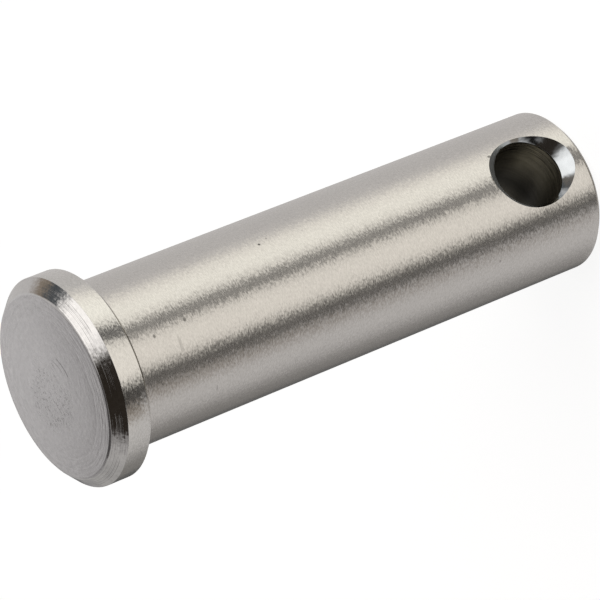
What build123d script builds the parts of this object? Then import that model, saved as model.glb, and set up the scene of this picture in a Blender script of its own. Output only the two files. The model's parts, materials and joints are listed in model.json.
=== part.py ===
from build123d import *
import os

# Clevis pin with a small head, turned from one bar and standing on its tip.
# The tip's end face lies on the ground at the origin, +Z runs up the axis to the head,
# and the cross hole for the split pin runs along Y.

# Shank
shank_diameter = 16.0
grip_length = 54.5          # from the tip's end face to the underside of the head
tip_chamfer = 0.7           # 45 degree lead-in round the tip

# Head
head_overhang = 2.0         # how far the head stands out past the shank
head_thickness = 3.8
head_chamfer = 1.2          # 45 degree chamfer round the top of the head
head_edge_break = 0.15      # edge broken round the underside of the head
neck_radius = 0.3           # fillet where the shank meets the head

# Cross hole
hole_diameter = 7.0
end_wall = 2.75             # metal left between the hole and the tip's end face
sink_width = 1.2            # width of the countersink beyond the hole, at the crest of the shank
sink_angle = 90.0

shank_radius = shank_diameter / 2
head_radius = shank_radius + head_overhang
top = grip_length + head_thickness
hole_radius = hole_diameter / 2
hole_height = end_wall + hole_radius

with BuildPart() as clevis_pin:
    # Half section of the turned blank, spun about its axis.
    with BuildSketch(Plane.XZ) as section:
        with BuildLine():
            Polyline(
                (0, 0),
                (shank_radius, 0),
                (shank_radius, grip_length),
                (head_radius, grip_length),
                (head_radius, top),
                (0, top),
                close=True,
            )
        make_face()
        corners = section.vertices()
        tip_corner = corners.group_by(Axis.Y)[0].sort_by(Axis.X)[-1]
        neck_corner, lip_corner = corners.filter_by_position(
            Axis.Y, grip_length, grip_length
        ).sort_by(Axis.X)
        crown_corner = corners.group_by(Axis.Y)[-1].sort_by(Axis.X)[-1]
        chamfer(tip_corner, length=tip_chamfer)
        chamfer(crown_corner, length=head_chamfer)
        chamfer(lip_corner, length=head_edge_break)
        fillet(neck_corner, radius=neck_radius)
    revolve(axis=Axis.Z)

    # Cross hole, countersunk from both sides of the shank.
    crest_planes = [
        Plane(origin=(0, side * shank_radius, hole_height), z_dir=(0, side, 0))
        for side in (-1, 1)
    ]
    with Locations(*crest_planes):
        CounterSinkHole(
            radius=hole_radius,
            counter_sink_radius=hole_radius + sink_width,
            depth=shank_radius,
            counter_sink_angle=sink_angle,
        )

clevis_pin.part.label = "clevis_pin"

os.makedirs("parts", exist_ok=True)
export_step(clevis_pin.part, "parts/clevis_pin.step")
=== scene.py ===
import json
from math import cos, pi, radians, sin, tan

import bpy
from mathutils import Matrix, Vector


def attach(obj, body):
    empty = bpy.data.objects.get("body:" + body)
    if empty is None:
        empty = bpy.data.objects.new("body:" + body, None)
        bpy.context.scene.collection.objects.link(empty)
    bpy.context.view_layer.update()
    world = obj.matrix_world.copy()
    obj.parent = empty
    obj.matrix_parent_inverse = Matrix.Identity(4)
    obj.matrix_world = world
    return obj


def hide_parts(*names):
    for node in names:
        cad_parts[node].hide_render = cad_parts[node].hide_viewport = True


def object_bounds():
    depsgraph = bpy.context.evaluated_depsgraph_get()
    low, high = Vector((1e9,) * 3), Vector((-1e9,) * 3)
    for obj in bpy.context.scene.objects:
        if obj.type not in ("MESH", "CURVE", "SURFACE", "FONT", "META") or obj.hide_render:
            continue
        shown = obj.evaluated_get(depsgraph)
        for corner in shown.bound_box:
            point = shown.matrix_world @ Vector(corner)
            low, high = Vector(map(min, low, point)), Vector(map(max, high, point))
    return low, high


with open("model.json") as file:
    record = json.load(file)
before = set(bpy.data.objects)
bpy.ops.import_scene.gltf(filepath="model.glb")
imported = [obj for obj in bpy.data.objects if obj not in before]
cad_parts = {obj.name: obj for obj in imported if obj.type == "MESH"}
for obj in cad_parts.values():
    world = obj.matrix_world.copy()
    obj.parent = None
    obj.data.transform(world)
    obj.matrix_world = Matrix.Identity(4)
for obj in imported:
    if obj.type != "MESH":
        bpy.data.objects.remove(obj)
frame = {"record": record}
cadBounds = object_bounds()
mounts = {mount["name"]: mount for mount in frame["record"]["mounts"]}
mm = 0.001


def deselectAll():
    for thing in list(bpy.context.selected_objects):
        thing.select_set(False)


def pick(piece):
    deselectAll()
    piece.select_set(True)
    bpy.context.view_layer.objects.active = piece


def applyModifier(piece, kind, settings):
    pick(piece)
    modifier = piece.modifiers.new(kind.title(), kind)
    for name, value in settings.items():
        setattr(modifier, name, value)
    bpy.ops.object.modifier_apply(modifier=modifier.name)


def lathe(name, stations, segments):
    # a ring of edges walked from station to station, closed at both ends
    deselectAll()
    radius, height = stations[0]
    bpy.ops.mesh.primitive_circle_add(vertices=segments, radius=radius, fill_type="TRIFAN")
    piece = bpy.context.object
    piece.name = name
    bpy.ops.object.mode_set(mode="EDIT")
    bpy.ops.mesh.select_all(action="SELECT")
    bpy.ops.transform.translate(value=(0, 0, height))
    bpy.ops.mesh.region_to_loop()
    for nextRadius, nextHeight in stations[1:]:
        bpy.ops.mesh.extrude_edges_move(TRANSFORM_OT_translate={"value": (0, 0, nextHeight - height)})
        grow = nextRadius / radius
        bpy.ops.transform.resize(value=(grow, grow, 1), center_override=(0, 0, 0))
        radius, height = nextRadius, nextHeight
    bpy.ops.mesh.extrude_edges_move()
    bpy.ops.mesh.merge(type="CENTER")
    bpy.ops.mesh.select_all(action="SELECT")
    bpy.ops.mesh.normals_make_consistent(inside=False)
    bpy.ops.object.mode_set(mode="OBJECT")
    return piece


def roundCorner(before, corner, after, radius, steps=3):
    # an arc in place of a corner
    toBefore = (Vector(before) - Vector(corner)).normalized()
    toAfter = (Vector(after) - Vector(corner)).normalized()
    half = toBefore.angle(toAfter) / 2
    centre = Vector(corner) + (toBefore + toAfter).normalized() * radius / sin(half)
    start = Vector(corner) + toBefore * radius / tan(half) - centre
    end = Vector(corner) + toAfter * radius / tan(half) - centre
    return [tuple(centre + start.lerp(end, i / steps).normalized() * radius) for i in range(steps + 1)]


def between(start, end, count):
    # evenly spaced stations between two others, without either end
    a, b = Vector(start), Vector(end)
    return [tuple(a.lerp(b, i / (count + 1))) for i in range(1, count + 1)]


def toolMarks(start, end, marks, steps=4):
    # shallow scallops side by side, as a turning tool leaves them: each has a share of the way
    # and a depth in millimetres
    a, b = Vector(start), Vector(end)
    along = b - a
    inward = Vector((-along.y, along.x)).normalized()
    total = sum(share for share, depth in marks)
    done = 0
    points = []
    for share, depth in marks:
        for i in range(steps):
            t = i / steps
            point = a + along * (done + share * t) / total + inward * depth * mm * 4 * t * (1 - t)
            points.append(tuple(point))
        done += share
    return points[1:]


class Wire:
    def __init__(self, net, socket):
        self.net = net
        self.socket = socket

    def math(self, operation, *others):
        values = dict(enumerate((self, *others)))
        return self.net.node("Math", {"operation": operation}, values)

    def __add__(self, other):
        return self.math("ADD", other)

    def __sub__(self, other):
        return self.math("SUBTRACT", other)

    def __mul__(self, other):
        return self.math("MULTIPLY", other)

    def __truediv__(self, other):
        return self.math("DIVIDE", other)

    def __rsub__(self, other):
        return self.net.node("Math", {"operation": "SUBTRACT"}, {0: other, 1: self})

    __radd__ = __add__
    __rmul__ = __mul__

    def fade(self, fromValue, toValue, low=0.0, high=1.0):
        # low at fromValue, high at toValue, eased between them and held outside
        return self.net.node(
            "MapRange",
            {"interpolation_type": "SMOOTHSTEP"},
            {"Value": self, "From Min": fromValue, "From Max": toValue, "To Min": low, "To Max": high},
        )


class Net:
    def __init__(self, tree):
        self.tree = tree
        self.tree.nodes.clear()

    def node(self, kind, settings=None, inputs=None, output=0):
        made = self.tree.nodes.new("ShaderNode" + kind)
        for name, value in (settings or {}).items():
            setattr(made, name, value)
        for name, value in (inputs or {}).items():
            if isinstance(value, Wire):
                self.tree.links.new(value.socket, made.inputs[name])
            else:
                made.inputs[name].default_value = value
        return Wire(self, made.outputs[output]) if len(made.outputs) else made

    def vector(self, operation, *values, output=0, scale=None):
        inputs = dict(enumerate(values))
        if scale is not None:
            inputs["Scale"] = scale
        return self.node("VectorMath", {"operation": operation}, inputs, output)

    def mixColour(self, factor, under, over):
        return self.node("Mix", {"data_type": "RGBA"}, {0: factor, 6: under, 7: over}, 2)

    def parts(self, vector):
        split = self.node("SeparateXYZ", {}, {0: vector})
        outputs = split.socket.node.outputs
        return [Wire(self, outputs[i]) for i in range(3)]


def newFinish(name):
    material = bpy.data.materials.new(name)
    material.use_nodes = True
    return material, Net(material.node_tree)


cameraPlace = {
    "azimuth": -17.97,        # degrees, 0 looks along +Y
    "elevation": 30.83,
    "roll": -111.84,          # turns the upright pin over on its side in the view
    "distance": 333.8 * mm,   # measured from the middle of the head's face
    "right": 22.05 * mm,
    "up": 7.80 * mm,
    "lens": 223.6,
}


def addCamera():
    azimuth = radians(cameraPlace["azimuth"])
    elevation = radians(cameraPlace["elevation"])
    roll = radians(cameraPlace["roll"])
    back = Vector((sin(azimuth) * cos(elevation), -cos(azimuth) * cos(elevation), sin(elevation)))
    level = Vector((cos(azimuth), sin(azimuth), 0))
    right = level * cos(roll) + back.cross(level) * sin(roll)
    up = back.cross(right)
    headMiddle = Vector((0, 0, cadBounds[1][2]))
    place = headMiddle + right * cameraPlace["right"] + up * cameraPlace["up"]
    place += back * cameraPlace["distance"]
    lensData = bpy.data.cameras.new("camera")
    lensData.lens = cameraPlace["lens"]
    lensData.sensor_width = 36
    lensData.clip_start = 0.01
    lensData.clip_end = 50
    camera = bpy.data.objects.new("camera", lensData)
    camera.matrix_world = Matrix.Translation(place) @ Matrix((right, up, back)).transposed().to_4x4()
    bpy.context.scene.collection.objects.link(camera)
    bpy.context.scene.camera = camera


addCamera()
print("camera placed")


# Each card stands round the pin at an azimuth and an elevation, in degrees, with its full
# width and height, the softness of its edges and its colour. Later cards lie over earlier ones.
studio = {
    "dome": (0.62, 0.60, 0.59),
    "backdrop": (1.0, 1.0, 1.0),
    "cards": {
        "sideShade": {"at": (-160, 4), "size": (84, 50), "soft": (22, 14), "colour": (0.46, 0.45, 0.44)},
        "rearSheet": {"at": (-82, -4), "size": (22, 32), "soft": (8, 8), "colour": (0.95, 0.93, 0.90)},
        "rearFlag": {"at": (-103, -4), "size": (14, 32), "soft": (7, 8), "colour": (0.06, 0.055, 0.05)},
        "backSheet": {"at": (152, 24), "size": (50, 34), "soft": (16, 9), "colour": (0.68, 0.67, 0.67)},
        "cornerShade": {"at": (188, 29), "size": (40, 28), "soft": (7, 8), "colour": (0.38, 0.37, 0.37)},
        "topShade": {"at": (195, 61), "size": (90, 52), "soft": (25, 7), "colour": (0.08, 0.075, 0.075)},
        "lowShade": {"at": (-158, -22), "size": (62, 32), "soft": (24, 5), "colour": (0.24, 0.23, 0.22)},
        "edgeShade": {"at": (173, -14), "size": (26, 30), "soft": (5, 6), "colour": (0.36, 0.35, 0.35)},
        "rimShade": {"at": (172, -25), "size": (26, 16), "soft": (3, 4), "colour": (0.14, 0.14, 0.14)},
        "deepShade": {"at": (-185, -30), "size": (38, 16), "soft": (8, 4), "colour": (0.11, 0.11, 0.11)},
        "headSheet": {"at": (-94, -16), "size": (38, 12), "soft": (14, 6), "colour": (0.74, 0.72, 0.70)},
        "lowSheet": {"at": (8, -24), "size": (124, 62), "soft": (14, 8), "colour": (1.03, 0.98, 0.90)},
        "warmSheet": {"at": (42, -24), "size": (32, 62), "soft": (16, 8), "colour": (1.20, 1.17, 1.07)},
        "underShade": {"at": (0, -76), "size": (370, 40), "soft": (2, 5), "colour": (0.145, 0.125, 0.09)},
        "brownGap": {"at": (107, 20), "size": (20, 30), "soft": (8, 8), "colour": (0.30, 0.25, 0.20)},
        "sideNear": {"at": (72, 16), "size": (20, 26), "soft": (4, 5), "colour": (0.20, 0.175, 0.15)},
        "sideGap": {"at": (90, 20), "size": (28, 34), "soft": (6, 6), "colour": (0.095, 0.104, 0.112)},
        "slit": {"at": (12, -32), "size": (16.5, 80), "soft": (7, 4), "colour": (0.03, 0.03, 0.035)},
        "flagFoot": {"at": (-71, -22), "size": (22, 20), "soft": (9, 4), "colour": (0.30, 0.26, 0.22)},
        "flag": {"at": (-54.5, -12), "size": (22, 130), "soft": (9, 6), "colour": (0.01, 0.009, 0.008)},
        "ceilingGap": {"at": (-53.5, 56), "size": (119, 54), "soft": (6, 4), "colour": (0.03, 0.024, 0.019)},
        "keyFall": {"at": (31, 51), "size": (42, 42), "soft": (29, 5), "colour": (1.46, 1.42, 1.38)},
        "keyBox": {"at": (54, 51), "size": (50, 42), "soft": (7, 5), "colour": (1.46, 1.42, 1.38)},
    },
}


def addStudio():
    world = bpy.data.worlds.new("studio")
    world.use_nodes = True
    bpy.context.scene.world = world
    net = Net(world.node_tree)
    direction = net.node("TexCoord", {}, {}, "Generated")
    x, y, z = net.parts(direction)
    degree = 180 / pi
    elevation = z.math("ARCSINE") * degree
    light = (*studio["dome"], 1)
    for card in studio["cards"].values():
        azimuth, height = card["at"]
        halfWidth, halfHeight = card["size"][0] / 2, card["size"][1] / 2
        softWidth, softHeight = card["soft"]
        sine, cosine = sin(radians(azimuth)), cos(radians(azimuth))
        sideways = x * cosine + y * sine
        forward = x * sine - y * cosine
        across = (sideways.math("ARCTAN2", forward) * degree).math("ABSOLUTE")
        upDown = (elevation - height).math("ABSOLUTE")
        inWidth = across.fade(halfWidth + softWidth, halfWidth - softWidth)
        inHeight = upDown.fade(halfHeight + softHeight, halfHeight - softHeight)
        light = net.mixColour(inWidth * inHeight, light, (*card["colour"], 1))
    lit = net.node("Background", {}, {"Color": light})
    plain = net.node("Background", {}, {"Color": (*studio["backdrop"], 1)})
    seen = net.node("LightPath", {}, {}, "Is Camera Ray")
    shown = net.node("MixShader", {}, {0: seen, 1: lit, 2: plain})
    net.node("OutputWorld", {}, {"Surface": shown})


def addFloor():
    deselectAll()
    bpy.ops.mesh.primitive_plane_add(size=12)
    floor = bpy.context.object
    floor.name = "floor"
    material, net = newFinish("paleFloor")
    shader = net.node(
        "BsdfPrincipled",
        {},
        {
            "Base Color": (0.34, 0.34, 0.34, 1),
            "Roughness": 0.9,
            "Specular IOR Level": 0.0,
            "Emission Color": (1, 1, 1, 1),
            "Emission Strength": 0.86,
        },
    )
    net.node("OutputMaterial", {}, {"Surface": shader})
    floor.data.materials.append(material)
    floor.visible_glossy = False
    floor.visible_shadow = False
    floor.visible_diffuse = False


addStudio()
addFloor()
bpy.context.scene.view_settings.view_transform = "Standard"
print("studio and floor ready")


pin = {
    "segments": 288,              # faces round the pin
    "edge": 0.06 * mm,            # how far the crisp edges are rounded
    "neck": 0.3 * mm,
    "tipChamfer": 0.7 * mm,
    "headChamfer": 1.2 * mm,
    "seatBreak": 0.3 * mm,
    "faceEdge": 0.4 * mm,
    "centre": 0.3 * mm,
    # turning marks, each with a share of the width and a depth in mm
    "chamferMarks": [(3, 0.003), (5, 0.005), (4, 0.002), (6, 0.005), (3, 0.003), (5, 0.004), (4, 0.004)],
    "faceMarks": [(4, 0.002), (6, 0.004), (3, 0.002), (5, 0.005), (7, 0.003), (4, 0.002), (6, 0.004)],
    "faceMarksTo": 6.6 * mm,      # the deeper rings on the face stop at this radius
    "tipMarks": [(5, 0.003), (6, 0.005), (4, 0.002), (6, 0.004), (5, 0.003), (7, 0.006), (4, 0.003)],
}
hole = {
    "segments": 144,
    "edge": 0.08 * mm,
    "lip": 0.5 * mm,              # the crest of the countersink is rubbed round
    "ridges": [0.2, 0.8, 0.4, 1.0, 0.3, 0.6, 0.2, 0.5, 0.3, 0.7, 0.2, 0.4, 0.3, 0.9, 0.4, 0.8],
    "ridgeDepth": 0.008 * mm,     # drill marks down the bore, the deepest of them
}

shankRadius = mounts["shank"]["dims"]["r_mm"] * mm
seatHeight = mounts["head_seat"]["pos_m"][2]
holeRadius = mounts["cross_hole"]["dims"]["r_mm"] * mm
holeHeight = mounts["cross_hole"]["pos_m"][2]
boreLength = mounts["cross_hole"]["dims"]["length_mm"] * mm
sinkDepth = shankRadius - boreLength / 2
headRadius = cadBounds[1][0]
topHeight = cadBounds[1][2]


def pinStations():
    tipFlat = shankRadius - pin["tipChamfer"]
    faceFlat = headRadius - pin["headChamfer"]
    corners = [
        (pin["centre"], 0.0, 0),
        (tipFlat, 0.0, pin["edge"]),
        (shankRadius, pin["tipChamfer"], pin["edge"]),
        (shankRadius, seatHeight, pin["neck"]),
        (headRadius - pin["seatBreak"], seatHeight, pin["edge"]),
        (headRadius, seatHeight + pin["seatBreak"], pin["edge"]),
        (headRadius, topHeight - pin["headChamfer"], pin["edge"]),
        (faceFlat, topHeight, pin["faceEdge"]),
        (pin["centre"], topHeight, 0),
    ]
    arcs = [[corners[0][:2]]]
    for before, corner, after in zip(corners, corners[1:], corners[2:]):
        arcs.append(roundCorner(before[:2], corner[:2], after[:2], corner[2]))
    arcs.append([corners[-1][:2]])
    fills = [[] for arc in arcs]
    holeTop = (shankRadius, 2 * holeHeight)
    fills[0] = toolMarks(arcs[0][-1], arcs[1][0], pin["tipMarks"])
    fills[2] = between(arcs[2][-1], holeTop, 9) + [holeTop] + between(holeTop, arcs[3][0], 14)
    fills[6] = toolMarks(arcs[6][-1], arcs[7][0], pin["chamferMarks"])
    ringsEnd = (pin["faceMarksTo"], topHeight)
    fills[7] = toolMarks(arcs[7][-1], ringsEnd, pin["faceMarks"])
    fills[7] += [ringsEnd] + between(ringsEnd, arcs[8][0], 6)
    stations = []
    for arc, fill in zip(arcs, fills):
        stations += arc + fill
    return stations


def holeStations():
    # the bore between two flared ends that reach past the shank
    throatEdge = (holeRadius, boreLength / 2)
    crest = (holeRadius + sinkDepth, shankRadius)
    past = (crest[0] + 1.2 * mm, crest[1] + 0.3 * mm)
    throat = roundCorner((holeRadius, 0), throatEdge, crest, hole["edge"])
    lip = roundCorner(throatEdge, crest, past, hole["lip"], 5)
    wall = []
    steps = 4 * len(hole["ridges"])
    bottom, top = -throat[0][1], throat[0][1]
    for i in range(1, steps):
        depth = hole["ridgeDepth"] * hole["ridges"][i // 4]
        swell = depth * (0.5 - 0.5 * cos(2 * pi * i / 4))
        wall.append((holeRadius + swell, bottom + (top - bottom) * i / steps))
    upper = throat + between(throat[-1], lip[0], 2) + lip + [past]
    lower = [(radius, -height) for radius, height in reversed(upper)]
    return lower + wall + upper


def drillHole(piece):
    cutter = lathe("cutter", holeStations(), hole["segments"])
    bpy.ops.object.mode_set(mode="EDIT")
    bpy.ops.mesh.select_all(action="SELECT")
    bpy.ops.transform.rotate(value=pi / 2, orient_axis="X", center_override=(0, 0, 0))
    bpy.ops.transform.translate(value=(0, 0, holeHeight))
    bpy.ops.object.mode_set(mode="OBJECT")
    applyModifier(piece, "BOOLEAN", {"operation": "DIFFERENCE", "solver": "EXACT", "object": cutter})
    bpy.data.objects.remove(cutter)


def finishAt(place, normal):
    # which finish a spot on the pin has
    fromHole = (place.x ** 2 + (place.z - holeHeight) ** 2) ** 0.5
    fromAxis = (place.x ** 2 + place.y ** 2) ** 0.5
    if fromHole < holeRadius + sinkDepth and fromAxis < shankRadius - 0.004 * mm and place.z > 0.5 * mm:
        flare = abs(place.y) > boreLength / 2 - 0.02 * mm
        return "polishedSink" if flare else "drilledBore"
    if abs(normal.z) > 0.95:
        return "turnedFace"
    if abs(normal.z) > 0.3 and place.z > seatHeight + 1 * mm:
        return "brightChamfer"
    return "groundRim" if fromAxis > shankRadius + 0.3 * mm else "groundShank"


def buildPin():
    piece = lathe("pin", pinStations(), pin["segments"])
    drillHole(piece)
    pick(piece)
    bpy.ops.object.shade_smooth_by_angle(angle=radians(32))
    applyModifier(piece, "WEIGHTED_NORMAL", {"keep_sharp": True, "weight": 50})
    finishes = {
        "groundShank": groundSteel("groundShank", steel["ground"], shankMarks),
        "groundRim": groundSteel("groundRim", steel["rim"], []),
        "turnedFace": turnedFace(),
        "brightChamfer": brightChamfer(),
        "polishedSink": polishedSink(),
        "drilledBore": drilledBore(),
    }
    names = list(finishes)
    for material in finishes.values():
        piece.data.materials.append(material)
    for face in piece.data.polygons:
        face.material_index = names.index(finishAt(face.center, face.normal))
    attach(piece, "root")
    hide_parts("clevis_pin")
    return piece


steel = {
    "ground": {
        "colour": (0.66, 0.645, 0.625),
        "roughness": 0.26,
        "hairs": (3600, 7500),        # how closely the grinding marks lie, round and along the pin
        "tilt": 0.21,                 # how far they tilt the surface
        "grain": 0.36,                # how much their shade varies
    },
    "rim": {
        # painted light: the rim's colour is a little lighter than the shank's
        "colour": (0.69, 0.68, 0.66),
        "roughness": 0.20,
        "hairs": (3600, 7500),
        "tilt": 0.20,
        "grain": 0.36,
    },
    "face": {
        "colour": (0.64, 0.625, 0.622),
        "roughness": 0.26,
        "ringDepth": 0.012 * mm,
        "dish": 0.062,                # the mesh is flat: the shading leans outward by this at the edge
        "tornAt": (-0.4 * mm, 1.3 * mm),
        # curved scores: azimuth, reach each way and core of it in degrees, radius, width, how deep
        "scores": [
            {"turn": 5, "reach": (21, 14), "radius": 3.35 * mm, "width": 0.13 * mm, "deep": 1.0},
            {"turn": 18, "reach": (26, 10), "radius": 2.75 * mm, "width": 0.10 * mm, "deep": 0.6},
        ],
    },
    "chamfer": {
        "colour": (0.64, 0.63, 0.62),
        "roughness": 0.12,
        "tilt": 0.07,                 # broad ripples
        "grain": 0.12,                # fine ripples
        "lineDepth": 0.004 * mm,
    },
    # the side of the countersink towards the head is this much rougher, and darker with painted shade
    "sink": {"colour": (0.58, 0.61, 0.63), "roughness": 0.11, "dullRoughness": 0.34, "dullDark": 0.25},
    # the bore's dark colour is painted shade of the deep hole
    "bore": {"colour": (0.16, 0.15, 0.12), "roughness": 0.36},
}

# small marks on the shank: azimuth in degrees, height, reach along and round the pin, how dark;
# the last three are a guess for the far side
shankMarks = [
    {"azimuth": 21.9, "height": 36.6, "along": 0.16, "round": 0.20, "dark": 0.85},
    {"azimuth": 24.8, "height": 35.5, "along": 0.14, "round": 0.12, "dark": 0.35},
    {"azimuth": -11.8, "height": 51.2, "along": 0.20, "round": 0.27, "dark": 0.60},
    {"azimuth": -8.9, "height": 47.7, "along": 0.27, "round": 0.24, "dark": 0.50},
    {"azimuth": -22.2, "height": 49.0, "along": 0.22, "round": 1.10, "dark": 0.20},
    {"azimuth": 27.0, "height": 44.3, "along": 0.35, "round": 0.30, "dark": 0.12},
    {"azimuth": -61.8, "height": 46.0, "along": 0.10, "round": 0.45, "dark": 0.30},
    {"azimuth": -53.1, "height": 13.0, "along": 0.16, "round": 0.18, "dark": 0.30},
    {"azimuth": 20.5, "height": 9.55, "along": 0.27, "round": 0.24, "dark": 0.65},
    {"azimuth": 118.0, "height": 30.0, "along": 0.18, "round": 0.22, "dark": 0.50},
    {"azimuth": 160.0, "height": 44.5, "along": 0.10, "round": 0.70, "dark": 0.35},
    {"azimuth": -140.0, "height": 21.0, "along": 0.15, "round": 0.16, "dark": 0.55},
]


def metal(net, colour, roughness, normal=None):
    inputs = {"Base Color": colour, "Metallic": 1.0, "Roughness": roughness}
    if normal:
        inputs["Normal"] = normal
    shader = net.node("BsdfPrincipled", {}, inputs)
    net.node("OutputMaterial", {}, {"Surface": shader})


def shaded(net, colour, amount):
    # a steel colour made lighter or darker by a value round 1
    return net.vector("SCALE", colour, scale=amount)


def markMask(net, place, mark):
    # 1 in the middle of a small mark on the shank, fading out at its reach
    azimuth = radians(mark["azimuth"])
    middle = (shankRadius * sin(azimuth), -shankRadius * cos(azimuth), mark["height"] * mm)
    offset = net.vector("SUBTRACT", place, middle)
    sideways = net.vector("DOT_PRODUCT", offset, (cos(azimuth), sin(azimuth), 0), output=1)
    inward = net.vector("DOT_PRODUCT", offset, (sin(azimuth), -cos(azimuth), 0), output=1)
    upward = net.parts(offset)[2]
    across = sideways / (mark["round"] * mm)
    along = upward / (mark["along"] * mm)
    depth = inward / (1.5 * mm)
    distance = (across * across + along * along + depth * depth).math("SQRT")
    return distance.fade(1.0, 0.35, 0.0, mark["dark"])


def groundSteel(name, look, marks):
    material, net = newFinish(name)
    place = net.node("TexCoord", {}, {}, "Object")
    normal = net.node("NewGeometry", {}, {}, "Normal")
    # grinding marks: short hairs round the pin, each tilting the surface a little
    roundScale, alongScale = look["hairs"]
    stretched = net.vector("MULTIPLY", place, (roundScale, roundScale, alongScale))
    hairs = net.node("TexNoise", {}, {"Vector": stretched, "Scale": 1.0, "Detail": 1.0}, "Color")
    tiltRound, tiltAlong, grain = net.parts(hairs)
    around = net.vector("CROSS_PRODUCT", (0.0, 0.0, 1.0), normal)
    leaning = net.vector("SCALE", around, scale=(tiltRound - 0.5) * look["tilt"])
    lifted = net.node("CombineXYZ", {}, {"Z": (tiltAlong - 0.5) * look["tilt"]})
    bent = net.vector("NORMALIZE", net.vector("ADD", net.vector("ADD", normal, leaning), lifted))
    cloud = net.node("TexNoise", {}, {"Vector": place, "Scale": 140.0, "Detail": 3.0})
    light = (grain - 0.5) * look["grain"] + (cloud - 0.5) * 0.06 + 1
    for mark in marks:
        light = light * (1 - markMask(net, place, mark))
    roughness = (cloud - 0.5) * 0.05 + look["roughness"]
    metal(net, shaded(net, look["colour"], light), roughness, bent)
    return material


def onRing(radius, middle, width):
    return (radius - middle).math("ABSOLUTE").fade(width, width / 4)


def turnedFace():
    look = steel["face"]
    material, net = newFinish("turnedFace")
    place = net.node("TexCoord", {}, {}, "Object")
    x, y = net.parts(place)[:2]
    fromAxis = (x * x + y * y).math("SQRT")
    # facing rings, broken up as they go round
    curl = net.node(
        "CombineXYZ", {}, {"X": x / fromAxis * 7, "Y": y / fromAxis * 7, "Z": fromAxis * 3600}
    )
    rings = net.node("TexNoise", {}, {"Vector": curl, "Scale": 1.0, "Detail": 2.0})
    patches = net.node("TexNoise", {}, {"Vector": place, "Scale": 240.0, "Detail": 2.0})
    outer = fromAxis.fade(6.0 * mm, 8.0 * mm)
    shown = patches.fade(0.40, 0.60, 0.45, 1.0) * (outer * 0.7 + 0.7)
    ringHeight = (rings - 0.5) * shown
    smears = net.node("TexNoise", {}, {"Vector": place, "Scale": 2400.0, "Detail": 3.0})
    # torn metal in the middle, where the tool stops cutting
    grains = net.node("TexNoise", {}, {"Vector": place, "Scale": 2900.0, "Detail": 4.0, "Roughness": 0.6})
    ragged = net.node("TexNoise", {}, {"Vector": place, "Scale": 420.0, "Detail": 2.0})
    aside = net.vector("DISTANCE", place, (*look["tornAt"], topHeight), output=1)
    centre = (aside + (ragged - 0.5) * 0.006).fade(4.3 * mm, 2.2 * mm)
    torn = centre * fromAxis.fade(0.3 * mm, 2.2 * mm, 0.45, 1.0) * grains.fade(0.50, 0.72)
    # curved scores beside the middle
    turn = x.math("ARCTAN2", y * -1) * (180 / pi)
    score = 0
    for mark in look["scores"]:
        along = (turn - mark["turn"]).math("ABSOLUTE").fade(*mark["reach"])
        score = along * onRing(fromAxis, mark["radius"], mark["width"]) * mark["deep"] + score
    height = ringHeight + smears * 0.6 - torn * 0.6 - score
    slope = net.vector("SCALE", place, scale=look["dish"] / headRadius)
    sideways = net.vector("MULTIPLY", slope, (1.0, 1.0, 0.0))
    normal = net.vector("NORMALIZE", net.vector("ADD", net.node("NewGeometry", {}, {}, "Normal"), sideways))
    bump = net.node(
        "Bump", {}, {"Strength": 1.0, "Distance": look["ringDepth"], "Height": height, "Normal": normal}
    )
    stain = net.node("TexNoise", {}, {"Vector": place, "Scale": 150.0, "Detail": 3.0})
    tone = (stain - 0.5) * 0.16 + (smears - 0.5) * 0.30 + ringHeight * 0.34
    # painted light: the colour is a little lighter towards the middle of the face
    light = tone + 1 + fromAxis.fade(4.5 * mm, 0.0, 0.0, 0.08) - torn * 0.19 - score * 0.26
    light = light - centre * ragged * 0.13
    roughness = torn * 0.12 + look["roughness"]
    metal(net, shaded(net, look["colour"], light), roughness, bump)
    return material


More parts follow.
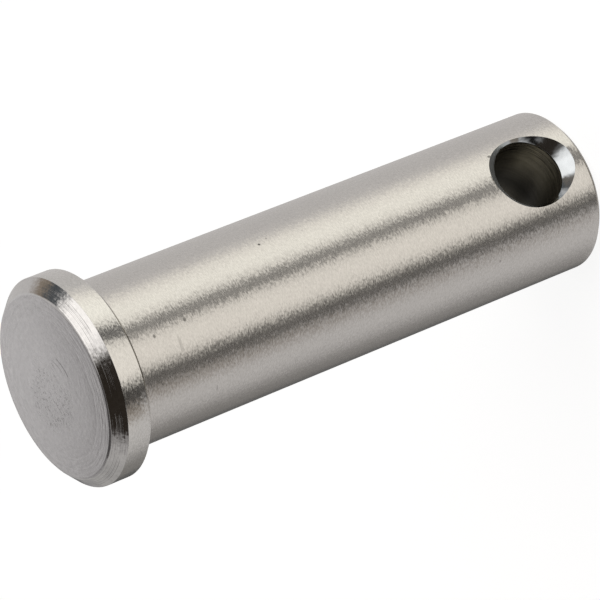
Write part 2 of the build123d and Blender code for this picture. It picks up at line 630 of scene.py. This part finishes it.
def brightChamfer():
    look = steel["chamfer"]
    material, net = newFinish("brightChamfer")
    place = net.node("TexCoord", {}, {}, "Object")
    z = net.parts(place)[2]
    wander = net.node("TexNoise", {}, {"Vector": place, "Scale": 300.0, "Detail": 1.0})
    rings = net.node(
        "TexNoise", {"noise_dimensions": "1D"}, {"W": z * 11000 + wander * 0.6, "Scale": 1.0, "Detail": 1.0}
    )
    lines = rings.fade(0.54, 0.62) * wander.fade(0.35, 0.6)
    specks = net.node("TexNoise", {}, {"Vector": place, "Scale": 2600.0, "Detail": 2.0})
    height = lines + specks * 0.6
    normal = net.node("NewGeometry", {}, {}, "Normal")
    for scale, tilt in ((900.0, look["tilt"]), (3800.0, look["grain"])):
        blots = net.node("TexNoise", {}, {"Vector": place, "Scale": scale, "Detail": 1.0}, "Color")
        lean = net.vector("SCALE", net.vector("SUBTRACT", blots, (0.5, 0.5, 0.5)), scale=tilt)
        normal = net.vector("NORMALIZE", net.vector("ADD", normal, lean))
    bump = net.node(
        "Bump", {}, {"Strength": 1.0, "Distance": look["lineDepth"], "Height": height, "Normal": normal}
    )
    # the turning lines are also darker in colour: painted shade in their grooves
    light = (specks - 0.5) * 0.3 + 1 - lines * 0.37
    roughness = (specks - 0.5) * 0.1 + look["roughness"]
    metal(net, shaded(net, look["colour"], light), roughness, bump)
    return material


def polishedSink():
    look = steel["sink"]
    material, net = newFinish("polishedSink")
    place = net.node("TexCoord", {}, {}, "Object")
    z = net.parts(place)[2]
    chatter = net.node("TexNoise", {}, {"Vector": place, "Scale": 800.0, "Detail": 2.0})
    bump = net.node("Bump", {}, {"Strength": 1.0, "Distance": 0.045 * mm, "Height": chatter})
    # the side towards the head is duller, and its colour is darker with painted shade
    dullAndShaded = z.fade(holeHeight, holeHeight + 3 * mm)
    light = (chatter - 0.5) * 0.3 + 1 - dullAndShaded * look["dullDark"]
    roughness = dullAndShaded * look["dullRoughness"] + look["roughness"]
    metal(net, shaded(net, look["colour"], light), roughness, bump)
    return material


def drilledBore():
    look = steel["bore"]
    material, net = newFinish("drilledBore")
    place = net.node("TexCoord", {}, {}, "Object")
    y = net.parts(place)[1]
    stain = net.node("TexNoise", {}, {"Vector": place, "Scale": 300.0, "Detail": 3.0})
    stretched = net.vector("MULTIPLY", place, (500.0, 5000.0, 500.0))
    streaks = net.node("TexNoise", {}, {"Vector": stretched, "Scale": 1.0, "Detail": 2.0})
    # painted shade: the colour darkens down the bore towards its middle, more than the light alone would
    # make it
    depth = y.math("ABSOLUTE")
    mouth = depth.fade(3.5 * mm, 6.6 * mm)
    light = (stain - 0.5) * 1.6 + (streaks - 0.5) * (mouth * 3.4 + 0.5) + 1
    light = light.math("MAXIMUM", 0.2) * depth.fade(0.0, 6.8 * mm, 0.18, 2.7)
    metal(net, shaded(net, look["colour"], light), look["roughness"])
    return material


buildPin()
print("pin turned, drilled and finished")
